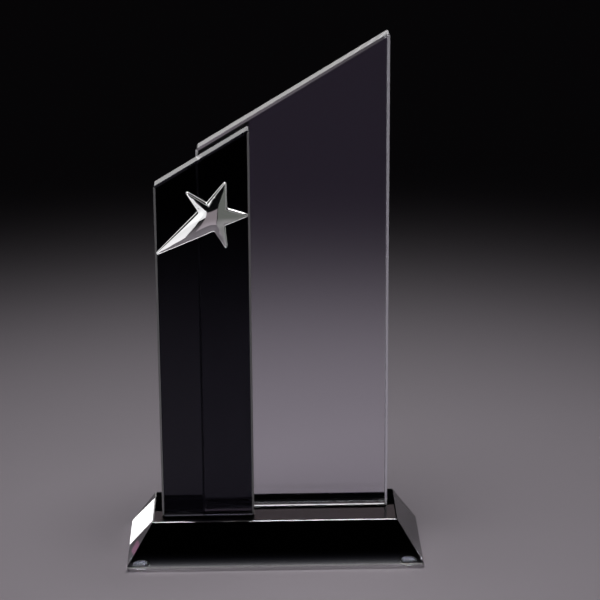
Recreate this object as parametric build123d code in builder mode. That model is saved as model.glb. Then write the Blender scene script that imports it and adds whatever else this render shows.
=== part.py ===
from build123d import *

import math
import os

# Crystal award: a clear plate and a black plate standing overlapped on a black crystal base,
# with a plated metal shooting star on the black plate. Millimetres, +Z up, front towards -Y.
# The origin is the centre of the footprint, on the surface that the feet stand on.

# ---- driving dimensions ----
FOOT_DIAMETER = 8.0
FOOT_HEIGHT = 2.0
FOOT_FLAT_DIAMETER = 4.6  # flat left at the crown of the dome, which meets the table
FOOT_RIM = 0.5  # straight rim beside the adhesive
FOOT_ADHESIVE = 0.1
FOOT_INSET_X = {"left": 6.4, "right": 7.0}  # foot centre to the base's end; stuck on by hand
FOOT_INSET_Y = 5.5  # foot centre to the long edge of the base

BASE_LENGTH = 140.0
BASE_DEPTH = 54.0
BASE_LAND = 0.8  # short upright edge round the bottom of the base
BASE_SLOPE_HEIGHT = 19.0
BASE_SLOPE_END = 12.3  # how far the end facets lean in
BASE_SLOPE_FRONT = 9.0  # how far the long facets lean in
BASE_TOP_BEVEL = 0.45
BASE_CORNER_BEVEL = 0.25

PLATE_THICKNESS = 10.0
PLATE_EDGE_BEVEL = 1.0
PLATE_JOINT_Y = -2.3  # the plane between the plates, a little in front of the base's middle
PLATE_TOP_SLOPE = 31.0  # degrees, shared by both plates
CLEAR_LEFT, CLEAR_RIGHT = -34.2, 54.0
CLEAR_HEIGHT = 229.8  # tall side, above the base
CLEAR_TIP_RADIUS = 1.0
CLEAR_SHOULDER_RADIUS = 2.0
BLACK_LEFT, BLACK_RIGHT = -53.4, -9.7
BLACK_HEIGHT = 188.5
BLACK_TIP_RADIUS = 1.0
BLACK_SHOULDER_RADIUS = 1.0

BOND_THICKNESS = 0.1  # clear UV-cured adhesive
BOND_MARGIN = 0.4  # the adhesive stops this far inside the bevels

STAR_CENTRE_X = -26.0
STAR_CENTRE_HEIGHT = 169.8  # above the table
STAR_TIPS = [(17.0, 3), (18.6, 72), (19.8, 136), (34.9, 213), (17.7, 290)]  # radius, degrees
STAR_NOTCHES = [(7.4, 37), (7.8, 115), (8.1, 158), (6.2, 266), (6.1, 323)]
STAR_TIP_RADIUS = 0.75
STAR_NOTCH_RADIUS = 0.35
STAR_DRAFT = 8.0  # degrees
STAR_CROWN = 4.2  # the domed face's highest point above the star's back
STAR_AXIS = 33.0  # degrees, the long way of the dome, along the tail
STAR_PEAK_SHIFT = 4.0  # how far the crown lies from the star's centre towards the tail
STAR_RADIUS_ALONG = 119.0
STAR_RADIUS_ACROSS = 51.0
STAR_PAD_THICKNESS = 0.3
STAR_PAD_MARGIN = 1.2

# ---- levels and faces worked out from them ----
BASE_BOTTOM = FOOT_HEIGHT
FACET_BOTTOM = BASE_BOTTOM + BASE_LAND
BASE_TOP = FACET_BOTTOM + BASE_SLOPE_HEIGHT
PLATE_BOTTOM = BASE_TOP + BOND_THICKNESS
CLEAR_FRONT = PLATE_JOINT_Y + BOND_THICKNESS / 2  # the clear plate's front face
BLACK_BACK = PLATE_JOINT_Y - BOND_THICKNESS / 2
BLACK_FRONT = BLACK_BACK - PLATE_THICKNESS
STAR_BACK = BLACK_FRONT - STAR_PAD_THICKNESS
TOP_RISE = math.tan(math.radians(PLATE_TOP_SLOPE))

os.makedirs("parts", exist_ok=True)


def save(piece, name):
    """Labels a finished piece and writes it as parts/NAME.step."""
    piece.part.label = name
    export_step(piece.part, f"parts/{name}.step")


def front_plane(y):
    """A plane facing the front of the award, whose X is the award's X and whose Y is up."""
    return Plane(origin=(0, y, 0), x_dir=(1, 0, 0), z_dir=(0, -1, 0))


# ---- base ----
def climbs(edge):
    """Whether an edge rises, as those shared by two side facets do."""
    return abs((edge @ 1).Z - (edge @ 0).Z) > BASE_LAND / 2


def side_outline(length, lean):
    """The base's outline from one side: an upright land, then sides that lean in to the top."""
    half = length / 2
    right_side = [(half, BASE_BOTTOM), (half, FACET_BOTTOM), (half - lean, BASE_TOP)]
    left_side = [(-x, z) for x, z in reversed(right_side)]
    return right_side + left_side


with BuildPart() as base_block:
    with BuildSketch(front_plane(0)):
        Polygon(*side_outline(BASE_LENGTH, BASE_SLOPE_END), align=None)
    extrude(amount=BASE_DEPTH / 2, both=True)
    with BuildSketch(Plane.YZ):
        Polygon(*side_outline(BASE_DEPTH, BASE_SLOPE_FRONT), align=None)
    extrude(amount=BASE_LENGTH / 2, both=True, mode=Mode.INTERSECT)
    chamfer(base_block.edges().filter_by(climbs), BASE_CORNER_BEVEL)
    chamfer(base_block.faces().sort_by(Axis.Z)[-1].edges(), BASE_TOP_BEVEL)
save(base_block, "base_block")


# ---- feet: domed clear bumpers with their adhesive ----
SIDES = {"left": -1, "right": 1}
ROWS = {"front": -1, "rear": 1}


def foot_centre(row, side):
    """The centre of the foot at one corner of the base."""
    x = SIDES[side] * (BASE_LENGTH / 2 - FOOT_INSET_X[side])
    y = ROWS[row] * (BASE_DEPTH / 2 - FOOT_INSET_Y)
    return x, y


def make_foot(row, side):
    """One bumper: a short rim under its adhesive, then a dome down to a flat crown."""
    x, y = foot_centre(row, side)
    radius = FOOT_DIAMETER / 2
    rim_top = FOOT_HEIGHT - FOOT_ADHESIVE
    flat_edge = (FOOT_FLAT_DIAMETER / 2, 0)
    with BuildPart() as foot:
        with BuildSketch(Plane(origin=(x, y, 0), x_dir=(1, 0, 0), z_dir=(0, -1, 0))):
            with BuildLine():
                TangentArc(flat_edge, (radius, rim_top - FOOT_RIM), tangent=(1, 0))
                Polyline((radius, rim_top - FOOT_RIM), (radius, rim_top), (0, rim_top), (0, 0), flat_edge)
            make_face()
        revolve(axis=Axis((x, y, 0), (0, 0, 1)))
    return foot


for row_name in ROWS:
    for side_name in SIDES:
        save(make_foot(row_name, side_name), f"foot_{row_name}_{side_name}")

with BuildPart() as foot_adhesive:
    with BuildSketch(Plane.XY.offset(FOOT_HEIGHT - FOOT_ADHESIVE)):
        with Locations(*[foot_centre(row, side) for row in ROWS for side in SIDES]):
            Circle(FOOT_DIAMETER / 2 - FOOT_ADHESIVE)
    extrude(amount=FOOT_ADHESIVE)
save(foot_adhesive, "foot_adhesive_discs")


# ---- plates ----
def make_plate(left, right, height, front_y, tip_radius, shoulder_radius):
    """An upright plate whose top slopes down from its right side, with polished bevels."""
    low_side = height - (right - left) * TOP_RISE
    with BuildPart() as plate:
        with BuildSketch(front_plane(front_y)) as outline:
            with BuildLine():
                Polyline(
                    (left, PLATE_BOTTOM),
                    (right, PLATE_BOTTOM),
                    (right, BASE_TOP + height),
                    (left, BASE_TOP + low_side),
                    close=True,
                )
            make_face()
            tip = outline.vertices().sort_by(Axis.Y)[-1]
            fillet(tip, tip_radius)
            left_corners = outline.vertices().group_by(Axis.X)[0]
            fillet(left_corners.sort_by(Axis.Y)[-1], shoulder_radius)
        extrude(amount=-PLATE_THICKNESS)
        broad_faces = plate.faces().filter_by(Axis.Y)
        chamfer(broad_faces.edges(), PLATE_EDGE_BEVEL)
    return plate


save(
    make_plate(
        CLEAR_LEFT, CLEAR_RIGHT, CLEAR_HEIGHT, CLEAR_FRONT, CLEAR_TIP_RADIUS, CLEAR_SHOULDER_RADIUS
    ),
    "clear_plate",
)
save(
    make_plate(
        BLACK_LEFT, BLACK_RIGHT, BLACK_HEIGHT, BLACK_FRONT, BLACK_TIP_RADIUS, BLACK_SHOULDER_RADIUS
    ),
    "black_plate",
)


# ---- adhesive films ----
def make_base_bond(left, right, front_y):
    """The film between a plate's bottom edge and the base, inside the plate's bevels."""
    edge = PLATE_EDGE_BEVEL + BOND_MARGIN
    with BuildPart() as bond:
        with BuildSketch(Plane.XY.offset(BASE_TOP)):
            with Locations(((left + right) / 2, front_y + PLATE_THICKNESS / 2)):
                Rectangle(right - left - 2 * edge, PLATE_THICKNESS - 2 * edge)
        extrude(amount=BOND_THICKNESS)
    return bond


save(make_base_bond(CLEAR_LEFT, CLEAR_RIGHT, CLEAR_FRONT), "clear_plate_base_bond")
save(make_base_bond(BLACK_LEFT, BLACK_RIGHT, BLACK_FRONT), "black_plate_base_bond")

with BuildPart() as plate_face_bond:
    bond_left = CLEAR_LEFT + PLATE_EDGE_BEVEL + BOND_MARGIN
    bond_right = BLACK_RIGHT - PLATE_EDGE_BEVEL - BOND_MARGIN
    bond_bottom = PLATE_BOTTOM + PLATE_EDGE_BEVEL + BOND_MARGIN
    bond_top = BASE_TOP + BLACK_HEIGHT - 2 * (PLATE_EDGE_BEVEL + BOND_MARGIN)
    bond_fall = (bond_right - bond_left) * TOP_RISE
    with BuildSketch(front_plane(CLEAR_FRONT)):
        with BuildLine():
            Polyline(
                (bond_left, bond_bottom),
                (bond_right, bond_bottom),
                (bond_right, bond_top),
                (bond_left, bond_top - bond_fall),
                close=True,
            )
        make_face()
    extrude(amount=BOND_THICKNESS)
save(plate_face_bond, "plate_face_bond")


# ---- shooting star ----
def polar(radius, degrees):
    """A point on the star's face, measured from the star's centre."""
    angle = math.radians(degrees)
    return (
        STAR_CENTRE_X + radius * math.cos(angle),
        STAR_CENTRE_HEIGHT + radius * math.sin(angle),
    )


def star_points():
    """The star's outline: its five tips with a notch after each."""
    return [polar(*point) for pair in zip(STAR_TIPS, STAR_NOTCHES) for point in pair]


def is_tip(vertex):
    """Whether a corner of the star's outline is a tip and not a notch."""
    reach = math.hypot(vertex.X - STAR_CENTRE_X, vertex.Y - STAR_CENTRE_HEIGHT)
    return reach > max(radius for radius, angle in STAR_NOTCHES) + STAR_TIP_RADIUS


def is_notch(vertex):
    """Whether a corner of the star's outline is one of its notches, still sharp."""
    notches = [Vector(*polar(*notch)) for notch in STAR_NOTCHES]
    return any((Vector(vertex.X, vertex.Y) - notch).length < STAR_NOTCH_RADIUS / 10 for notch in notches)


with BuildPart() as star_medallion:
    with BuildSketch(front_plane(STAR_BACK)) as star_outline:
        Polygon(*star_points(), align=None)
        fillet(star_outline.vertices().filter_by(is_tip), STAR_TIP_RADIUS)
        fillet(star_outline.vertices().filter_by(is_notch), STAR_NOTCH_RADIUS)
    extrude(amount=STAR_CROWN, taper=STAR_DRAFT)

    # the face is cut by a barrel whose axis lies behind the star, along the tail
    axis_x = math.cos(math.radians(STAR_AXIS))
    axis_z = math.sin(math.radians(STAR_AXIS))
    barrel_centre = (
        STAR_CENTRE_X - STAR_PEAK_SHIFT * axis_x,
        STAR_BACK - STAR_CROWN + STAR_RADIUS_ACROSS,
        STAR_CENTRE_HEIGHT - STAR_PEAK_SHIFT * axis_z,
    )
    half_length = STAR_TIPS[3][0] + STAR_PEAK_SHIFT
    sagitta = STAR_RADIUS_ALONG - math.sqrt(STAR_RADIUS_ALONG**2 - half_length**2)
    end_radius = STAR_RADIUS_ACROSS - sagitta
    barrel_plane = Plane(barrel_centre, x_dir=(axis_x, 0, axis_z), z_dir=(axis_z, 0, -axis_x))
    with BuildSketch(barrel_plane):
        with BuildLine():
            ThreePointArc(
                (-half_length, end_radius), (0, STAR_RADIUS_ACROSS), (half_length, end_radius)
            )
            Polyline(
                (half_length, end_radius), (half_length, 0), (-half_length, 0), (-half_length, end_radius)
            )
        make_face()
    revolve(axis=Axis(barrel_centre, (axis_x, 0, axis_z)), mode=Mode.INTERSECT)
save(star_medallion, "star_medallion")

with BuildPart() as star_adhesive_pad:
    with BuildSketch(front_plane(BLACK_FRONT)) as pad_outline:
        Polygon(*star_points(), align=None)
        offset(amount=-STAR_PAD_MARGIN, kind=Kind.INTERSECTION)
        fillet(pad_outline.vertices(), STAR_TIP_RADIUS)
    extrude(amount=STAR_PAD_THICKNESS)
save(star_adhesive_pad, "star_adhesive_pad")
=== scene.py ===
import math

import bmesh
import bpy
from mathutils import Matrix, Vector, geometry
from mathutils import noise as noise_at


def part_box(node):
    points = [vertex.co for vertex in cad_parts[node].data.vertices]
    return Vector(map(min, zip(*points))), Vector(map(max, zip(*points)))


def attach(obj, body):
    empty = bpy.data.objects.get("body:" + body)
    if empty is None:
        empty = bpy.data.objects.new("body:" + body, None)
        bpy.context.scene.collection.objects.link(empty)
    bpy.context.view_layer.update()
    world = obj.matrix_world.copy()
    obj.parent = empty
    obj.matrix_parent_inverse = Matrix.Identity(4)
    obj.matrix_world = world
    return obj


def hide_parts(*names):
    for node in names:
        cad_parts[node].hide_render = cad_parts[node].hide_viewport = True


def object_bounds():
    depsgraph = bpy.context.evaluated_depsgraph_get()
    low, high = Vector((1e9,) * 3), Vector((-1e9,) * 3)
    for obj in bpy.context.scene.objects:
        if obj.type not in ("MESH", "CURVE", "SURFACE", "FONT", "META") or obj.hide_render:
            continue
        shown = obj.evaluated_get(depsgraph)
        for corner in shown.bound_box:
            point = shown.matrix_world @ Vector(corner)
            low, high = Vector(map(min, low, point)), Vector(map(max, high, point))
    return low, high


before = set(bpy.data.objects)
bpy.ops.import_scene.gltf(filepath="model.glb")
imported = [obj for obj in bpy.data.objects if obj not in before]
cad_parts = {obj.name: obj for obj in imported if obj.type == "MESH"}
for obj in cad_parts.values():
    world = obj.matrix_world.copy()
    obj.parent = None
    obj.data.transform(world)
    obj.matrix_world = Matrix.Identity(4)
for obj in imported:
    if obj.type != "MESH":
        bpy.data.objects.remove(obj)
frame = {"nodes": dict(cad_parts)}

CAD_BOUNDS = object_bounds()
MM = 0.001
Y_AXIS, Z_AXIS = 1, 2

# ---- camera ----
CAMERA_LENS_MM = 131.4
CAMERA_SENSOR_MM = 36
CAMERA_DISTANCE = 1.0197
CAMERA_AZIMUTH = -1.19  # degrees, to the right of straight in front where it is positive
CAMERA_ELEVATION = 18.43
CAMERA_ROLL = -0.375
CAMERA_AIM_X = 0.0129

# ---- shooting star, in millimetres on the black plate's face ----
STAR_CENTRE = (-26.0, 169.8)
STAR_TIPS = [(17.0, 3), (18.6, 72), (19.8, 136), (34.9, 213), (17.7, 290)]  # radius, degrees
STAR_NOTCHES = [(7.4, 37), (7.8, 115), (8.1, 158), (6.2, 266), (6.1, 323)]
STAR_TIP_RADIUS = 0.75
STAR_NOTCH_RADIUS = 0.35
STAR_FLANGE = 0.2  # the thin lip round the star's back
STAR_DRAFT = math.tan(math.radians(4))
STAR_CROWN = 3.6  # the dome's highest point above the star's back, before the swell
STAR_AXIS = math.radians(33)  # the long way of the dome, along the tail
STAR_PEAK_ALONG = -4.0  # where the crown is along that axis
STAR_RADIUS_ALONG = 119.0
STAR_RADIUS_ACROSS = 110.0
STAR_SWELL = 0.04  # curvature of the puffed-up face, per millimetre
STAR_EDGE_ROUNDING = 0.3
STAR_LEAST_WALL = 0.3  # the straight part of the wall is never lower
STAR_LEAST_FACE = 0.4 + STAR_EDGE_ROUNDING  # the face is never lower, before the swell
STAR_INSET_LIMIT = 0.93 * STAR_TIP_RADIUS  # keeps the tips' rings from crossing
STAR_LIP_STEPS = 3  # over the lip's rounding
STAR_RIM_STEPS = 4  # over the rim's rounding
STAR_GRID = 0.6  # spacing of the face's points
RIM_CLEARANCE = 0.6 * STAR_GRID  # grid points keep this far from the rim
SWELL_PASSES = 250
OVER_RELAXATION = 1.8
INSIDE_ONLY = 1  # what the triangulation hands back
MERGE_DISTANCE = 1e-6

# ---- materials ----
NOISE_LOW = 0.35
NOISE_HIGH = 0.7
CRYSTAL_IOR = 1.52
BASE_TINT = 0.05  # how blue the light is that the base's crystal lets by
BASE_DENSITY = 500  # absorption per metre
BLACK_PLATE_TINT = 0.07
BLACK_PLATE_DENSITY = 290
BASE_BOTTOM = 2.0 * MM
FACET_BOTTOM = 2.8 * MM  # under the facets, a short upright edge
SLIVER = 0.01 * MM
FOOT_AXIS = (63.3 * MM, 21.5 * MM)  # from the base's middle
WETTED_RADIUS = 3.8 * MM
GROUND_ROUGHNESS = 0.7  # the base's underside and short upright edge
GROUND_HAZE = 0.7
BEVEL_SLANT = 0.4  # x times y of a side bevel's normal is above this, whatever its sign
BEVEL_ROUGHNESS = 0.4  # the side bevels are ground, not polished
CLEAR_BEVEL_HAZE = 0.8  # how much of the light they scatter
BLACK_BEVEL_HAZE = 0.4

# ---- studio ----
ROOM_LIGHT = 0.003
TOP_SLOPE = 31.0  # degrees, the slant of both plates' tops
CORNER_LOSS = 0.77 * MM  # how much the rounding takes off the black plate's upper corner
LEDGE_HEIGHT = 4 * MM
LEDGE_GAP = 0.04 * MM
RIM_PANEL_RADIANCE = {"clear_plate": 0.8, "black_plate": 0.3}
FOOT_CARD_SETBACK = 5.6 * MM  # where the view through a foot meets the floor, behind its axis
CARD_LIFT = 0.5 * MM  # off the floor
FOOT_CARD_LIFT = 0.05 * MM
STAR_PANEL_DISTANCE = 0.25
FLOOR_RADIUS = 9.0
FLOOR_GAP = 0.02 * MM  # keeps the floor's face off the feet's flat crowns

# ---- adhesives ----
PLATE_BEVEL = 1.0 * MM  # the bevel round each plate
WETTING = 0.02 * MM  # how far a film sinks into what it joins
SAME_PLACE = 1e-7
BEAD_MEAN = 0.22 * MM  # squeezed-out adhesive under the plates' bevels
BEAD_LEAST = 0.25  # of the mean width
BEAD_WAVES_PER_M = 420
BEAD_FINE_WAVES = 3.1  # to each of the slow ones


# ---------------------------------------------------------------- node helpers
def new_material(name):
    """A material with nothing in it but its output node."""
    material = bpy.data.materials.new(name)
    material.use_nodes = True
    nodes = material.node_tree.nodes
    nodes.clear()
    output = nodes.new("ShaderNodeOutputMaterial")
    return material, material.node_tree, output


def principled(tree, output, **values):
    """A Principled shader with plain values on its own sockets."""
    shader = tree.nodes.new("ShaderNodeBsdfPrincipled")
    for socket, value in values.items():
        shader.inputs[socket.replace("_", " ")].default_value = value
    tree.links.new(shader.outputs[0], output.inputs["Surface"])
    return shader


def noise(tree, scale, detail):
    """Noise in the object's own space, with scale in features per metre."""
    place = tree.nodes.new("ShaderNodeTexCoord")
    texture = tree.nodes.new("ShaderNodeTexNoise")
    texture.inputs["Scale"].default_value = scale
    texture.inputs["Detail"].default_value = detail
    tree.links.new(place.outputs["Object"], texture.inputs["Vector"])
    return texture.outputs["Fac"]


def ramp(tree, source, low, high):
    """Maps the range in which noise mostly lies onto low to high."""
    node = tree.nodes.new("ShaderNodeMapRange")
    node.inputs["From Min"].default_value = NOISE_LOW
    node.inputs["From Max"].default_value = NOISE_HIGH
    node.inputs["To Min"].default_value = low
    node.inputs["To Max"].default_value = high
    tree.links.new(source, node.inputs["Value"])
    return node.outputs["Result"]


def bump(tree, height, strength, distance):
    """Turns a height value into a normal."""
    node = tree.nodes.new("ShaderNodeBump")
    node.inputs["Strength"].default_value = strength
    node.inputs["Distance"].default_value = distance
    tree.links.new(height, node.inputs["Height"])
    return node.outputs["Normal"]


def absorption(tree, output, colour, density):
    """Fills the piece with an absorbing volume; density is per metre."""
    volume = tree.nodes.new("ShaderNodeVolumeAbsorption")
    volume.inputs["Color"].default_value = (*colour, 1)
    volume.inputs["Density"].default_value = density
    tree.links.new(volume.outputs[0], output.inputs["Volume"])


def split_axes(tree, source):
    """The X, Y and Z of a vector socket."""
    split = tree.nodes.new("ShaderNodeSeparateXYZ")
    tree.links.new(source, split.inputs[0])
    return split.outputs


def facing(tree, axis):
    """How far the face's normal points along an axis, from -1 to 1."""
    geometry_node = tree.nodes.new("ShaderNodeNewGeometry")
    return split_axes(tree, geometry_node.outputs["True Normal"])[axis]


def shaded_point(tree, axis):
    """Where the shaded point is along an axis, in metres."""
    place = tree.nodes.new("ShaderNodeTexCoord")
    return split_axes(tree, place.outputs["Object"])[axis]


def math_node(tree, operation, first, second=0.0):
    """One arithmetic step on a socket."""
    node = tree.nodes.new("ShaderNodeMath")
    node.operation = operation
    tree.links.new(first, node.inputs[0])
    if isinstance(second, float):
        node.inputs[1].default_value = second
    else:
        tree.links.new(second, node.inputs[1])
    return node.outputs[0]


def on_upright_bevels(tree):
    """1 on the bevels down a plate's two sides, 0 elsewhere."""
    both_ways = math_node(tree, "MULTIPLY", facing(tree, "X"), facing(tree, "Y"))
    slant = math_node(tree, "ABSOLUTE", both_ways)
    return math_node(tree, "GREATER_THAN", slant, BEVEL_SLANT)


def distance_to_foot(tree):
    """The level distance from the shaded point to the nearest foot's axis, in metres."""
    squares = []
    for axis, offset in zip("XY", FOOT_AXIS):
        from_middle = math_node(tree, "ABSOLUTE", shaded_point(tree, axis))
        away = math_node(tree, "SUBTRACT", from_middle, offset)
        squares.append(math_node(tree, "MULTIPLY", away, away))
    return math_node(tree, "SQRT", math_node(tree, "ADD", *squares))


# ---------------------------------------------------------------- materials
def plate_crystal(name, tint, specular_tint, haze):
    """Polished crystal plate with faint wear and ground side bevels that scatter some light."""
    material, tree, output = new_material(name)
    shader = principled(
        tree, output, Base_Color=(*tint, 1), Transmission_Weight=1.0, IOR=CRYSTAL_IOR,
        Specular_Tint=(*specular_tint, 1),
    )
    bevels = on_upright_bevels(tree)
    wear = ramp(tree, noise(tree, scale=90, detail=3), low=0.0, high=0.012)
    ground = math_node(tree, "MULTIPLY", bevels, BEVEL_ROUGHNESS)
    tree.links.new(math_node(tree, "ADD", wear, ground), shader.inputs["Roughness"])
    clearness = math_node(tree, "MULTIPLY", bevels, -haze)
    clearness = math_node(tree, "ADD", clearness, 1.0)
    tree.links.new(clearness, shader.inputs["Transmission Weight"])
    return material, tree, output


def clear_crystal():
    """Clear crystal with the faintest violet cast."""
    return plate_crystal(
        "clear_crystal", tint=(0.965, 0.96, 1.0), specular_tint=(0.97, 0.88, 1.0),
        haze=CLEAR_BEVEL_HAZE,
    )[0]


def black_crystal():
    """Smoked crystal, dark through its full thickness, and dull where it is looked at squarely."""
    material, tree, output = plate_crystal(
        "black_crystal", tint=(1, 1, 1), specular_tint=(0.16, 0.15, 0.22), haze=BLACK_BEVEL_HAZE
    )
    absorption(tree, output, (0.0, 0.0, BLACK_PLATE_TINT), BLACK_PLATE_DENSITY)
    return material


def black_base_crystal():
    """The base's black crystal: polished, but ground on its underside and short upright edge.

    The feet's adhesive wets the ground face and makes it clear over each foot.
    """
    material, tree, output = new_material("black_base_crystal")
    shader = principled(
        tree, output, Base_Color=(1, 1, 1, 1), Transmission_Weight=1.0, IOR=CRYSTAL_IOR
    )
    wear = ramp(tree, noise(tree, scale=90, detail=3), low=0.0, high=0.015)
    height = shaded_point(tree, "Z")
    underside = math_node(tree, "LESS_THAN", height, BASE_BOTTOM + SLIVER)
    below_facets = math_node(tree, "LESS_THAN", height, FACET_BOTTOM)
    land = math_node(tree, "SUBTRACT", below_facets, underside)
    dry = math_node(tree, "GREATER_THAN", distance_to_foot(tree), WETTED_RADIUS)
    dry_ground = math_node(tree, "MULTIPLY", below_facets, dry)
    ground = math_node(tree, "MULTIPLY", dry_ground, GROUND_ROUGHNESS)
    tree.links.new(math_node(tree, "ADD", wear, ground), shader.inputs["Roughness"])
    haze = math_node(tree, "MULTIPLY", land, -GROUND_HAZE)
    tree.links.new(math_node(tree, "ADD", haze, 1.0), shader.inputs["Transmission Weight"])
    absorption(tree, output, (0.0, 0.0, BASE_TINT), BASE_DENSITY)
    return material


def chrome_plating():
    """Bright chrome over a cast star: nearly a mirror, a little uneven."""
    material, tree, output = new_material("chrome_plating")
    shader = principled(tree, output, Base_Color=(0.86, 0.86, 0.87, 1), Metallic=1.0)
    smear = ramp(tree, noise(tree, scale=260, detail=4), low=0.02, high=0.07)
    tree.links.new(smear, shader.inputs["Roughness"])
    waviness = bump(tree, noise(tree, scale=120, detail=1), strength=0.06, distance=0.0004)
    tree.links.new(waviness, shader.inputs["Normal"])
    return material


def clear_rubber():
    """Clear soft polyurethane."""
    material, tree, output = new_material("clear_rubber")
    shader = principled(
        tree, output, Base_Color=(0.95, 0.96, 0.98, 1), Transmission_Weight=0.85, IOR=1.49
    )
    haze = ramp(tree, noise(tree, scale=700, detail=2), low=0.02, high=0.08)
    tree.links.new(haze, shader.inputs["Roughness"])
    return material


def uv_adhesive(name, tint, clearness):
    """A clear cured film, a little milky."""
    material, tree, output = new_material(name)
    shader = principled(
        tree, output, Base_Color=(*tint, 1), Transmission_Weight=clearness, IOR=1.5
    )
    haze = ramp(tree, noise(tree, scale=400, detail=3), low=0.02, high=0.15)
    tree.links.new(haze, shader.inputs["Roughness"])
    return material


def foam_tape():
    """Dark closed-cell foam tape."""
    material, tree, output = new_material("foam_tape")
    shader = principled(tree, output, Base_Color=(0.03, 0.03, 0.032, 1), Roughness=0.9)
    cells = bump(tree, noise(tree, scale=3000, detail=2), strength=0.4, distance=0.00005)
    tree.links.new(cells, shader.inputs["Normal"])
    return material


def studio_floor():
    """Plain pale board with a soft sheen."""
    material, tree, output = new_material("studio_floor")
    colour = (0.62, 0.56, 0.62, 1)
    shader = principled(tree, output, Base_Color=colour, Specular_IOR_Level=0.1)
    grain = ramp(tree, noise(tree, scale=40, detail=3), low=0.8, high=0.95)
    tree.links.new(grain, shader.inputs["Roughness"])
    return material


def dress(node, material):
    """Gives a CAD node one material on all its slots."""
    for slot in frame["nodes"][node].material_slots:
        slot.material = material


# ---------------------------------------------------------------- shooting star
def polar(radius, degrees):
    """A point of the star's outline, in millimetres from its centre."""
    angle = math.radians(degrees)
    return Vector((radius * math.cos(angle), radius * math.sin(angle)))


def rounded_corner(before, corner, after, radius, steps=6):
    """The arc that rounds one corner, as (point, outward normal) pairs."""
    to_before = (before - corner).normalized()
    to_after = (after - corner).normalized()
    half = to_before.angle(to_after) / 2
    bisector = (to_before + to_after).normalized()
    centre = corner + bisector * (radius / math.sin(half))
    reach = radius / math.tan(half)
    first = corner + to_before * reach - centre
    last = corner + to_after * reach - centre
    turn = first.angle_signed(last)
    convex = (corner - before).cross(after - corner) > 0
    arc = []
    for step in range(steps + 1):
        spoke = first.copy()
        spoke.rotate(Matrix.Rotation(-turn * step / steps, 2))
        arc.append((centre + spoke, spoke.normalized() * (1 if convex else -1)))
    return arc


def star_outline(spacing=0.8):
    """The star's back outline, anticlockwise, as (point, outward normal) pairs."""
    corners = []
    for tip, notch in zip(STAR_TIPS, STAR_NOTCHES):
        corners.append((polar(*tip), STAR_TIP_RADIUS))
        corners.append((polar(*notch), STAR_NOTCH_RADIUS))
    count = len(corners)
    arcs = []
    for i, (corner, radius) in enumerate(corners):
        before = corners[i - 1][0]
        after = corners[(i + 1) % count][0]
        arcs.append(rounded_corner(before, corner, after, radius))
    outline = []
    for i, arc in enumerate(arcs):
        outline += arc
        start, normal = arc[-1]
        end = arcs[(i + 1) % count][0][0]
        parts = max(1, round((end - start).length / spacing))
        for part in range(1, parts):
            outline.append((start.lerp(end, part / parts), normal))
    return outline


def crown_height(point):
    """Height of the star's domed face above its back."""
    along = point.x * math.cos(STAR_AXIS) + point.y * math.sin(STAR_AXIS)
    across = point.y * math.cos(STAR_AXIS) - point.x * math.sin(STAR_AXIS)
    fall_along = (along - STAR_PEAK_ALONG) ** 2 / (2 * STAR_RADIUS_ALONG)
    fall_across = across ** 2 / (2 * STAR_RADIUS_ACROSS)
    return STAR_CROWN - fall_along - fall_across


def face_height(point):
    """Height of the star's face before the swell, kept clear of its back."""
    return max(crown_height(point), STAR_LEAST_FACE)


def star_rings(outline):
    """The star's lip, wall and rounded rim as rings of (point, height), from back to face."""
    rings = []
    lip_rounding = STAR_FLANGE / 2
    rings.append([(point, 0.0) for point, normal in outline])
    for step in range(STAR_LIP_STEPS + 1):
        angle = math.radians(90 * step / STAR_LIP_STEPS)
        inset = lip_rounding * (1 - math.cos(angle))
        height = lip_rounding * (1 + math.sin(angle))
        rings.append([(point - normal * inset, height) for point, normal in outline])
    foot = [(point - normal * STAR_FLANGE, 2 * lip_rounding) for point, normal in outline]
    rings.append(foot)
    rounding = STAR_EDGE_ROUNDING
    for step in range(STAR_RIM_STEPS + 1):
        angle = math.radians(90 * step / STAR_RIM_STEPS)
        ring = []
        for point, normal in outline:
            wall = max(STAR_LEAST_WALL, crown_height(point) - rounding)
            inset = STAR_FLANGE + wall * STAR_DRAFT + rounding * (1 - math.cos(angle))
            moved = point - normal * min(inset, STAR_INSET_LIMIT)
            top = face_height(moved)
            ring.append((moved, top - rounding * (1 - math.sin(angle))))
        rings.append(ring)
    return rings


def swell(count, fixed, triangles):
    """How far a skin held at its edge puffs up at each point, by over-relaxation."""
    neighbours = [set() for _ in range(count)]
    for a, b, c in triangles:
        neighbours[a] |= {b, c}
        neighbours[b] |= {a, c}
        neighbours[c] |= {a, b}
    rise = STAR_SWELL * STAR_GRID ** 2 / 4
    heights = [0.0] * count
    for _ in range(SWELL_PASSES):
        for i in range(count):
            if i not in fixed:
                around = [heights[j] for j in neighbours[i]]
                target = sum(around) / len(around) + rise
                heights[i] += OVER_RELAXATION * (target - heights[i])
    return heights


def face_points(rim):
    """Grid points well inside the rim."""
    xs = [point.x for point in rim]
    ys = [point.y for point in rim]
    points = []
    row = 0
    y = min(ys)
    while y < max(ys):
        x = min(xs) + (row % 2) * STAR_GRID / 2
        while x < max(xs):
            here = Vector((x, y))
            if clear_of_rim(here, rim):
                points.append(here)
            x += STAR_GRID
        y += STAR_GRID * math.sqrt(3) / 2
        row += 1
    return points


def clear_of_rim(here, rim):
    """Whether a point lies inside the rim and not close to it."""
    inside = False
    for i, a in enumerate(rim):
        b = rim[i - 1]
        if (a - here).length < RIM_CLEARANCE:
            return False
        if (a.y > here.y) != (b.y > here.y):
            if here.x < (b.x - a.x) * (here.y - a.y) / (b.y - a.y) + a.x:
                inside = not inside
    return inside


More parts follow.
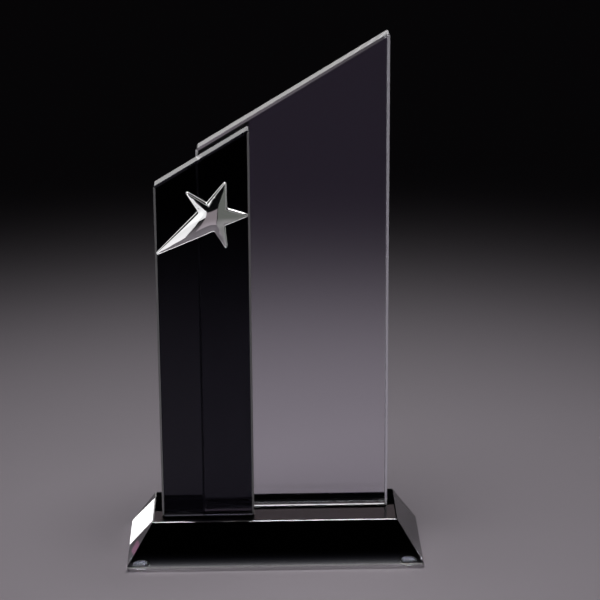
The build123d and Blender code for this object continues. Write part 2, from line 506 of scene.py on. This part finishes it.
def star_geometry(back_y):
    """The whole star: flat back, drafted wall, rounded rim and domed face."""
    rings = star_rings(star_outline())
    bm = bmesh.new()

    def place(point, height):
        x = (STAR_CENTRE[0] + point.x) * MM
        z = (STAR_CENTRE[1] + point.y) * MM
        return bm.verts.new((x, back_y - height * MM, z))

    loops = [[place(point, height) for point, height in ring] for ring in rings]
    for lower, upper in zip(loops, loops[1:]):
        for i in range(len(lower)):
            bm.faces.new((lower[i - 1], lower[i], upper[i], upper[i - 1]))
    bm.faces.new(list(reversed(loops[0])))

    rim = [point for point, height in rings[-1]]
    inner = face_points(rim)
    border = [(i, (i + 1) % len(rim)) for i in range(len(rim))]
    found = geometry.delaunay_2d_cdt(rim + inner, border, [], INSIDE_ONLY, MERGE_DISTANCE)
    flat, triangles, origins = found[0], found[2], found[3]
    on_rim = {i for i, sources in enumerate(origins) if sources[0] < len(rim)}
    swelling = swell(len(flat), on_rim, triangles)
    verts = []
    for i, (point, sources) in enumerate(zip(flat, origins)):
        if i in on_rim:
            verts.append(loops[-1][sources[0]])
        else:
            verts.append(place(point, face_height(point) + swelling[i]))
    for triangle in triangles:
        bm.faces.new([verts[i] for i in triangle])
    for face in bm.faces:
        face.smooth = len(face.verts) <= 4
    return bm


def make_star():
    """The cast star that stands for the CAD medallion."""
    back_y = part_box("star_medallion")[1].y
    bm = star_geometry(back_y)
    return add_piece("shooting_star", bm, chrome_plating(), "star_plating", "star_medallion")


# ---------------------------------------------------------------- adhesives
def add_piece(name, bm, material, slot, *nodes):
    """Turns finished geometry into a piece that stands for CAD nodes."""
    bmesh.ops.recalc_face_normals(bm, faces=bm.faces)
    mesh = bpy.data.meshes.new(name)
    bm.to_mesh(mesh)
    bm.free()
    mesh.materials.append(material)
    piece = bpy.data.objects.new(name, mesh)
    bpy.context.scene.collection.objects.link(piece)
    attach(piece, "root")
    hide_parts(*nodes)
    return piece


def wetting_film(node, axis, material, slot):
    """An adhesive film that sinks into both of the pieces it joins, so no faces coincide."""
    low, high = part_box(node)
    middle = (low[axis] + high[axis]) / 2
    bm = bmesh.new()
    bm.from_mesh(frame["nodes"][node].data)
    bmesh.ops.remove_doubles(bm, verts=bm.verts, dist=SAME_PLACE)
    for vert in bm.verts:
        vert.co[axis] += math.copysign(WETTING, vert.co[axis] - middle)
    return add_piece(f"{node}_film", bm, material, slot, node)


def bead_width(place):
    """How far the squeezed-out adhesive stands out of the joint at a place."""
    slow = noise_at.noise(place * BEAD_WAVES_PER_M)
    fine = noise_at.noise(place * BEAD_WAVES_PER_M * BEAD_FINE_WAVES)
    return BEAD_MEAN * max(BEAD_LEAST, 1 + 0.9 * slow + 0.5 * fine)


def bead_profile(width, bottom, top):
    """The bead's section from the base up to the bevel, as (reach, height) pairs."""
    waist = bottom + 0.5 * (top - bottom) + 0.45 * width
    return [
        (width, bottom - WETTING),
        (0.7 * width, waist),
        (width - WETTING, top + width + 0.5 * WETTING),
        (-BEAD_MEAN, top + WETTING),
    ]


def joint_outline(low, high, spacing=0.6 * MM):
    """Points round a rectangle with the outward direction at each."""
    corners = [(low.x, low.y), (high.x, low.y), (high.x, high.y), (low.x, high.y)]
    outline = []
    for i, corner in enumerate(corners):
        start = Vector((*corner, 0))
        end = Vector((*corners[(i + 1) % 4], 0))
        along = (end - start).normalized()
        outward = Vector((along.y, -along.x, 0))
        outline.append((start, (outward - along).normalized() * math.sqrt(2)))
        parts = round((end - start).length / spacing)
        for part in range(1, parts):
            outline.append((start.lerp(end, part / parts), outward))
    return outline


def base_bond(plate, node, material, slot):
    """The film under a plate, with the uneven bead that was squeezed out under its bevels."""
    bottom, top = (corner.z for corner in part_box(node))
    low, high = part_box(plate)
    inset = Vector((PLATE_BEVEL, PLATE_BEVEL, 0))
    outline = joint_outline(low + inset, high - inset)
    bm = bmesh.new()
    columns = []
    for place, outward in outline:
        profile = bead_profile(bead_width(place), bottom, top)
        column = [((place + outward * reach).xy, height) for reach, height in profile]
        columns.append(column)
    loops = [[bm.verts.new((*xy, height)) for xy, height in level] for level in zip(*columns)]
    for lower, upper in zip(loops, loops[1:]):
        for i in range(len(lower)):
            bm.faces.new((lower[i - 1], lower[i], upper[i], upper[i - 1]))
    bm.faces.new(list(reversed(loops[0])))
    bm.faces.new(loops[-1])
    return add_piece(f"{node}_film", bm, material, slot, node)


# ---------------------------------------------------------------- studio
def make_floor(material):
    """A floor far larger than any view."""
    bm = bmesh.new()
    bmesh.ops.create_circle(bm, cap_ends=True, segments=96, radius=FLOOR_RADIUS)
    mesh = bpy.data.meshes.new("floor")
    bm.to_mesh(mesh)
    bm.free()
    floor = bpy.data.objects.new("floor", mesh)
    bpy.context.scene.collection.objects.link(floor)
    mesh.materials.append(material)
    floor.location.z = -FLOOR_GAP
    return floor


def softbox(name, place, aim, size, power, colour=(1, 1, 1), roll=0):
    """A rectangular area light that points at aim, rolled about its own axis in degrees."""
    light = bpy.data.lights.new(name, "AREA")
    light.shape = "RECTANGLE"
    light.size, light.size_y = size
    light.energy = power
    light.color = colour
    lamp = bpy.data.objects.new(name, light)
    bpy.context.scene.collection.objects.link(lamp)
    lamp.location = place
    facing_aim = (Vector(aim) - Vector(place)).to_track_quat("-Z", "Y").to_matrix()
    lamp.rotation_euler = (facing_aim @ Matrix.Rotation(math.radians(roll), 3, "Z")).to_euler()
    lamp.visible_camera = False
    return lamp


def panel_power(radiance, size):
    """The power in watts that gives an area light one radiance."""
    return radiance * math.pi * size[0] * size[1]


def shine_only_on(lamp, objects):
    """Flags a lamp off everything but these objects."""
    lit = bpy.data.collections.new(f"lit_by_{lamp.name}")
    for lit_object in objects:
        lit.objects.link(lit_object)
    lamp.light_linking.receiver_collection = lit


def floor_pool(place, power, cone, blend, radius):
    """A soft spot straight down that lights the floor round the award and fades further out."""
    light = bpy.data.lights.new("pool", "SPOT")
    light.energy = power
    light.spot_size = math.radians(cone)
    light.spot_blend = blend
    light.shadow_soft_size = radius
    lamp = bpy.data.objects.new("pool", light)
    bpy.context.scene.collection.objects.link(lamp)
    lamp.location = place
    lamp.visible_camera = False
    return lamp


def reflection_panel(name, place, aim, size, radiance, objects, colour=(1, 1, 1), roll=0):
    """A soft panel that only some pieces mirror."""
    lamp = softbox(name, place, aim, size, panel_power(radiance, size), colour, roll)
    shine_only_on(lamp, objects)
    return lamp


def floor_card(name, centre, size, radiance, objects, colour=(1, 1, 1), turn=0, lift=CARD_LIFT):
    """A card lying face up on the floor that only some pieces mirror."""
    place = (*centre, lift)
    card = reflection_panel(name, place, (*centre, 1), size, radiance, objects, colour)
    card.rotation_euler = (math.pi, 0, math.radians(turn))
    return card


def star_panel(name, star, azimuth, elevation, radiance, colour=(1, 1, 1)):
    """An upright panel that fills a range of directions, in degrees, as the star sees it."""
    distance = STAR_PANEL_DISTANCE
    face_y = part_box("star_medallion")[0].y
    eye = Vector((STAR_CENTRE[0] * MM, face_y, STAR_CENTRE[1] * MM))
    middle = math.radians(sum(azimuth) / 2)
    half_turn = math.radians(azimuth[1] - azimuth[0]) / 2
    away = Vector((math.sin(middle), -math.cos(middle), 0))
    bottom, top = (distance * math.tan(math.radians(angle)) for angle in elevation)
    place = eye + away * distance + Vector((0, 0, (bottom + top) / 2))
    aim = Vector((eye.x, eye.y, place.z))
    size = (2 * distance * math.tan(half_turn), top - bottom)
    reflection_panel(name, place, aim, size, radiance, [star], colour)


def make_world(strength):
    """Even dim room light."""
    world = bpy.data.worlds.new("room")
    world.use_nodes = True
    background = world.node_tree.nodes["Background"]
    background.inputs["Color"].default_value = (0.95, 0.93, 1.0, 1)
    background.inputs["Strength"].default_value = strength
    bpy.context.scene.world = world


def make_camera():
    """The camera, aimed at the award's middle from its azimuth and elevation."""
    data = bpy.data.cameras.new("camera")
    data.lens = CAMERA_LENS_MM
    data.sensor_width = CAMERA_SENSOR_MM
    data.clip_end = 50
    camera = bpy.data.objects.new("camera", data)
    bpy.context.scene.collection.objects.link(camera)
    low, high = CAD_BOUNDS
    azimuth = math.radians(CAMERA_AZIMUTH)
    elevation = math.radians(CAMERA_ELEVATION)
    forward = Vector((
        -math.sin(azimuth) * math.cos(elevation),
        math.cos(azimuth) * math.cos(elevation),
        -math.sin(elevation),
    ))
    aim = Vector((CAMERA_AIM_X, 0, (low[2] + high[2]) / 2))
    right = Vector((math.cos(azimuth), math.sin(azimuth), 0))
    turn = Matrix.Rotation(-math.radians(CAMERA_ROLL), 3, forward)
    right = turn @ right
    up = right.cross(forward)
    camera.matrix_world = Matrix((right, up, -forward)).transposed().to_4x4()
    camera.location = aim - forward * CAMERA_DISTANCE
    bpy.context.scene.camera = camera


def ledge_card(plate):
    """A strip that the black plate's slanted top mirrors where the clear plate stands behind."""
    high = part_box("black_plate")[1]
    joint_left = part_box("clear_plate")[0].x
    corner_z = high.z + CORNER_LOSS
    middle_x = (joint_left + high.x) / 2
    slope = math.radians(TOP_SLOPE)
    lift = LEDGE_HEIGHT / 2
    place = Vector((
        middle_x - lift * math.sin(slope),
        high.y + LEDGE_GAP,
        corner_z - (high.x - middle_x) * math.tan(slope) + lift * math.cos(slope),
    ))
    length = (high.x - joint_left) / math.cos(slope)
    aim = place - Vector((0, 1, 0))
    size = (length, LEDGE_HEIGHT)
    reflection_panel("ledge", place, aim, size, radiance=1.0, objects=[plate], roll=-TOP_SLOPE)


def light_room(award, floor):
    """The lamp overhead, the pool of light on the floor and the panels round the award."""
    nodes = frame["nodes"]
    top = softbox("top", place=(0.0, 0.0, 0.56), aim=(0, 0, 0), size=(0.3, 0.25), power=1.3)
    shine_only_on(top, award)
    pool = floor_pool(place=(0, -0.04, 0.5), power=3.6, cone=104, blend=0.6, radius=0.1)
    shine_only_on(pool, [floor])
    reflection_panel(
        "left", place=(-0.42, -0.62, 0.36), aim=(0.1, -0.2, 0.1), size=(0.75, 0.7),
        radiance=0.25, objects=award,
    )
    for plate, radiance in RIM_PANEL_RADIANCE.items():
        for side in (-1, 1):
            reflection_panel(
                "rim", place=(0.45 * side, -0.15, 0.15), aim=(0, 0, 0.15), size=(0.3, 0.3),
                radiance=radiance, objects=[nodes[plate]],
            )
    reflection_panel(
        "far_strip", place=(-0.5, 4.0, 0.85), aim=(0, 0, 0.2), size=(3.0, 0.87),
        radiance=1.15, objects=award,
    )
    reflection_panel(
        "high_back", place=(0.0, 2.2, 1.646), aim=(0, 2.1, 1.646), size=(2.0, 1.3),
        radiance=0.33, objects=award, colour=(1, 0.82, 0.88), roll=0.84,
    )
    reflection_panel(
        "overhead", place=(0, 0.07, 0.5), aim=(0, 0.07, 0), size=(0.4, 0.3),
        radiance=7, objects=[nodes["base_block"]],
    )


def light_plates(clear_plate, black_plate):
    """What each plate mirrors alone: the strip by the black one, the floor before the clear one."""
    ledge_card(black_plate)
    front = floor_card(
        "front_card", centre=(0.05, -0.63), size=(0.26, 1.2), radiance=0.4,
        objects=[clear_plate], colour=(0.82, 0.7, 1),
    )
    front.visible_transmission = False  # mirrored by the plate, never seen through it


def light_base(base, floor):
    """Cards on the floor that the base mirrors, and the glow under its front edge."""
    floor_card(
        "side_card", centre=(-0.084, 0.0585), size=(0.008, 0.12), radiance=3.5,
        objects=[base], turn=16,
    )
    floor_card(
        "violet_card", centre=(-0.0795, 0.0155), size=(0.003, 0.022), radiance=0.35,
        objects=[base], colour=(1, 0.3, 0.65), turn=12,
    )
    floor_card(
        "under_card", centre=(0, -0.0165), size=(0.13, 0.02), radiance=1.3, objects=[base]
    )
    reflection_panel(
        "under_glow", place=(0, -0.0235, 0.0019), aim=(0, -0.0235, 0), size=(0.134, 0.008),
        radiance=0.15, objects=[floor],
    )


def light_front_feet():
    """A bright card behind each front foot, for the oval that shows through the base."""
    for side in ("left", "right"):
        foot = frame["nodes"][f"foot_front_{side}"]
        low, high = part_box(foot.name)
        middle = (low + high) / 2
        floor_card(
            f"foot_card_{side}", centre=(middle.x, middle.y + FOOT_CARD_SETBACK),
            size=(0.012, 0.008), radiance=170, objects=[foot], lift=FOOT_CARD_LIFT,
        )


def light_star(star):
    """The light and dark zones that the chrome mirrors, from its left round to its right."""
    star_panel("star_left", star, azimuth=(-87, -15), elevation=(-33, 45), radiance=0.92)
    star_panel("star_above", star, azimuth=(-15, -9), elevation=(-9, 1), radiance=0.92)
    star_panel(
        "star_front", star, azimuth=(-9, 8), elevation=(-27, -2), radiance=0.24,
        colour=(1, 0.87, 0.93),
    )
    star_panel(
        "star_right", star, azimuth=(9, 70), elevation=(-33, 10), radiance=0.14,
        colour=(0.95, 1, 0.92),
    )
    star_panel(
        "star_tail", star, azimuth=(-14, -9), elevation=(-36, -12), radiance=0.03,
        colour=(1, 0.92, 0.96),
    )
    star_panel("star_side", star, azimuth=(72, 86), elevation=(-30, 30), radiance=1.6)
    floor_card(
        "star_below", centre=(STAR_CENTRE[0] * MM, -0.08), size=(0.2, 0.1), radiance=2.5,
        objects=[star],
    )
    reflection_panel(
        "star_overhead", place=(-0.026, -0.15, 0.42), aim=(-0.026, -0.15, 0),
        size=(0.6, 0.26), radiance=1, objects=[star],
    )


# ---------------------------------------------------------------- assembly
make_camera()
make_world(ROOM_LIGHT)
floor = make_floor(studio_floor())

clear = clear_crystal()
black = black_crystal()
rubber = clear_rubber()
glue = uv_adhesive("bead_adhesive", tint=(0.9, 0.93, 0.96), clearness=0.9)
optical_glue = uv_adhesive("optical_adhesive", tint=(0.99, 0.99, 1.0), clearness=0.99)

dress("clear_plate", clear)
dress("base_block", black_base_crystal())
dress("black_plate", black)
for corner in ("front_left", "front_right", "rear_left", "rear_right"):
    dress(f"foot_{corner}", rubber)
star = make_star()
films = [
    wetting_film("foot_adhesive_discs", Z_AXIS, optical_glue, "foot_adhesive"),
    wetting_film("plate_face_bond", Y_AXIS, optical_glue, "uv_adhesive"),
    wetting_film("star_adhesive_pad", Y_AXIS, foam_tape(), "foam_tape"),
    base_bond("clear_plate", "clear_plate_base_bond", glue, "uv_adhesive"),
    base_bond("black_plate", "black_plate_base_bond", glue, "uv_adhesive"),
]
light_room([*frame["nodes"].values(), star, *films], floor)
light_plates(frame["nodes"]["clear_plate"], frame["nodes"]["black_plate"])
light_base(frame["nodes"]["base_block"], floor)
light_front_feet()
light_star(star)

scene = bpy.context.scene
scene.view_settings.view_transform = "Standard"
scene.cycles.max_bounces = 24
scene.cycles.transmission_bounces = 20
scene.cycles.use_denoising = True
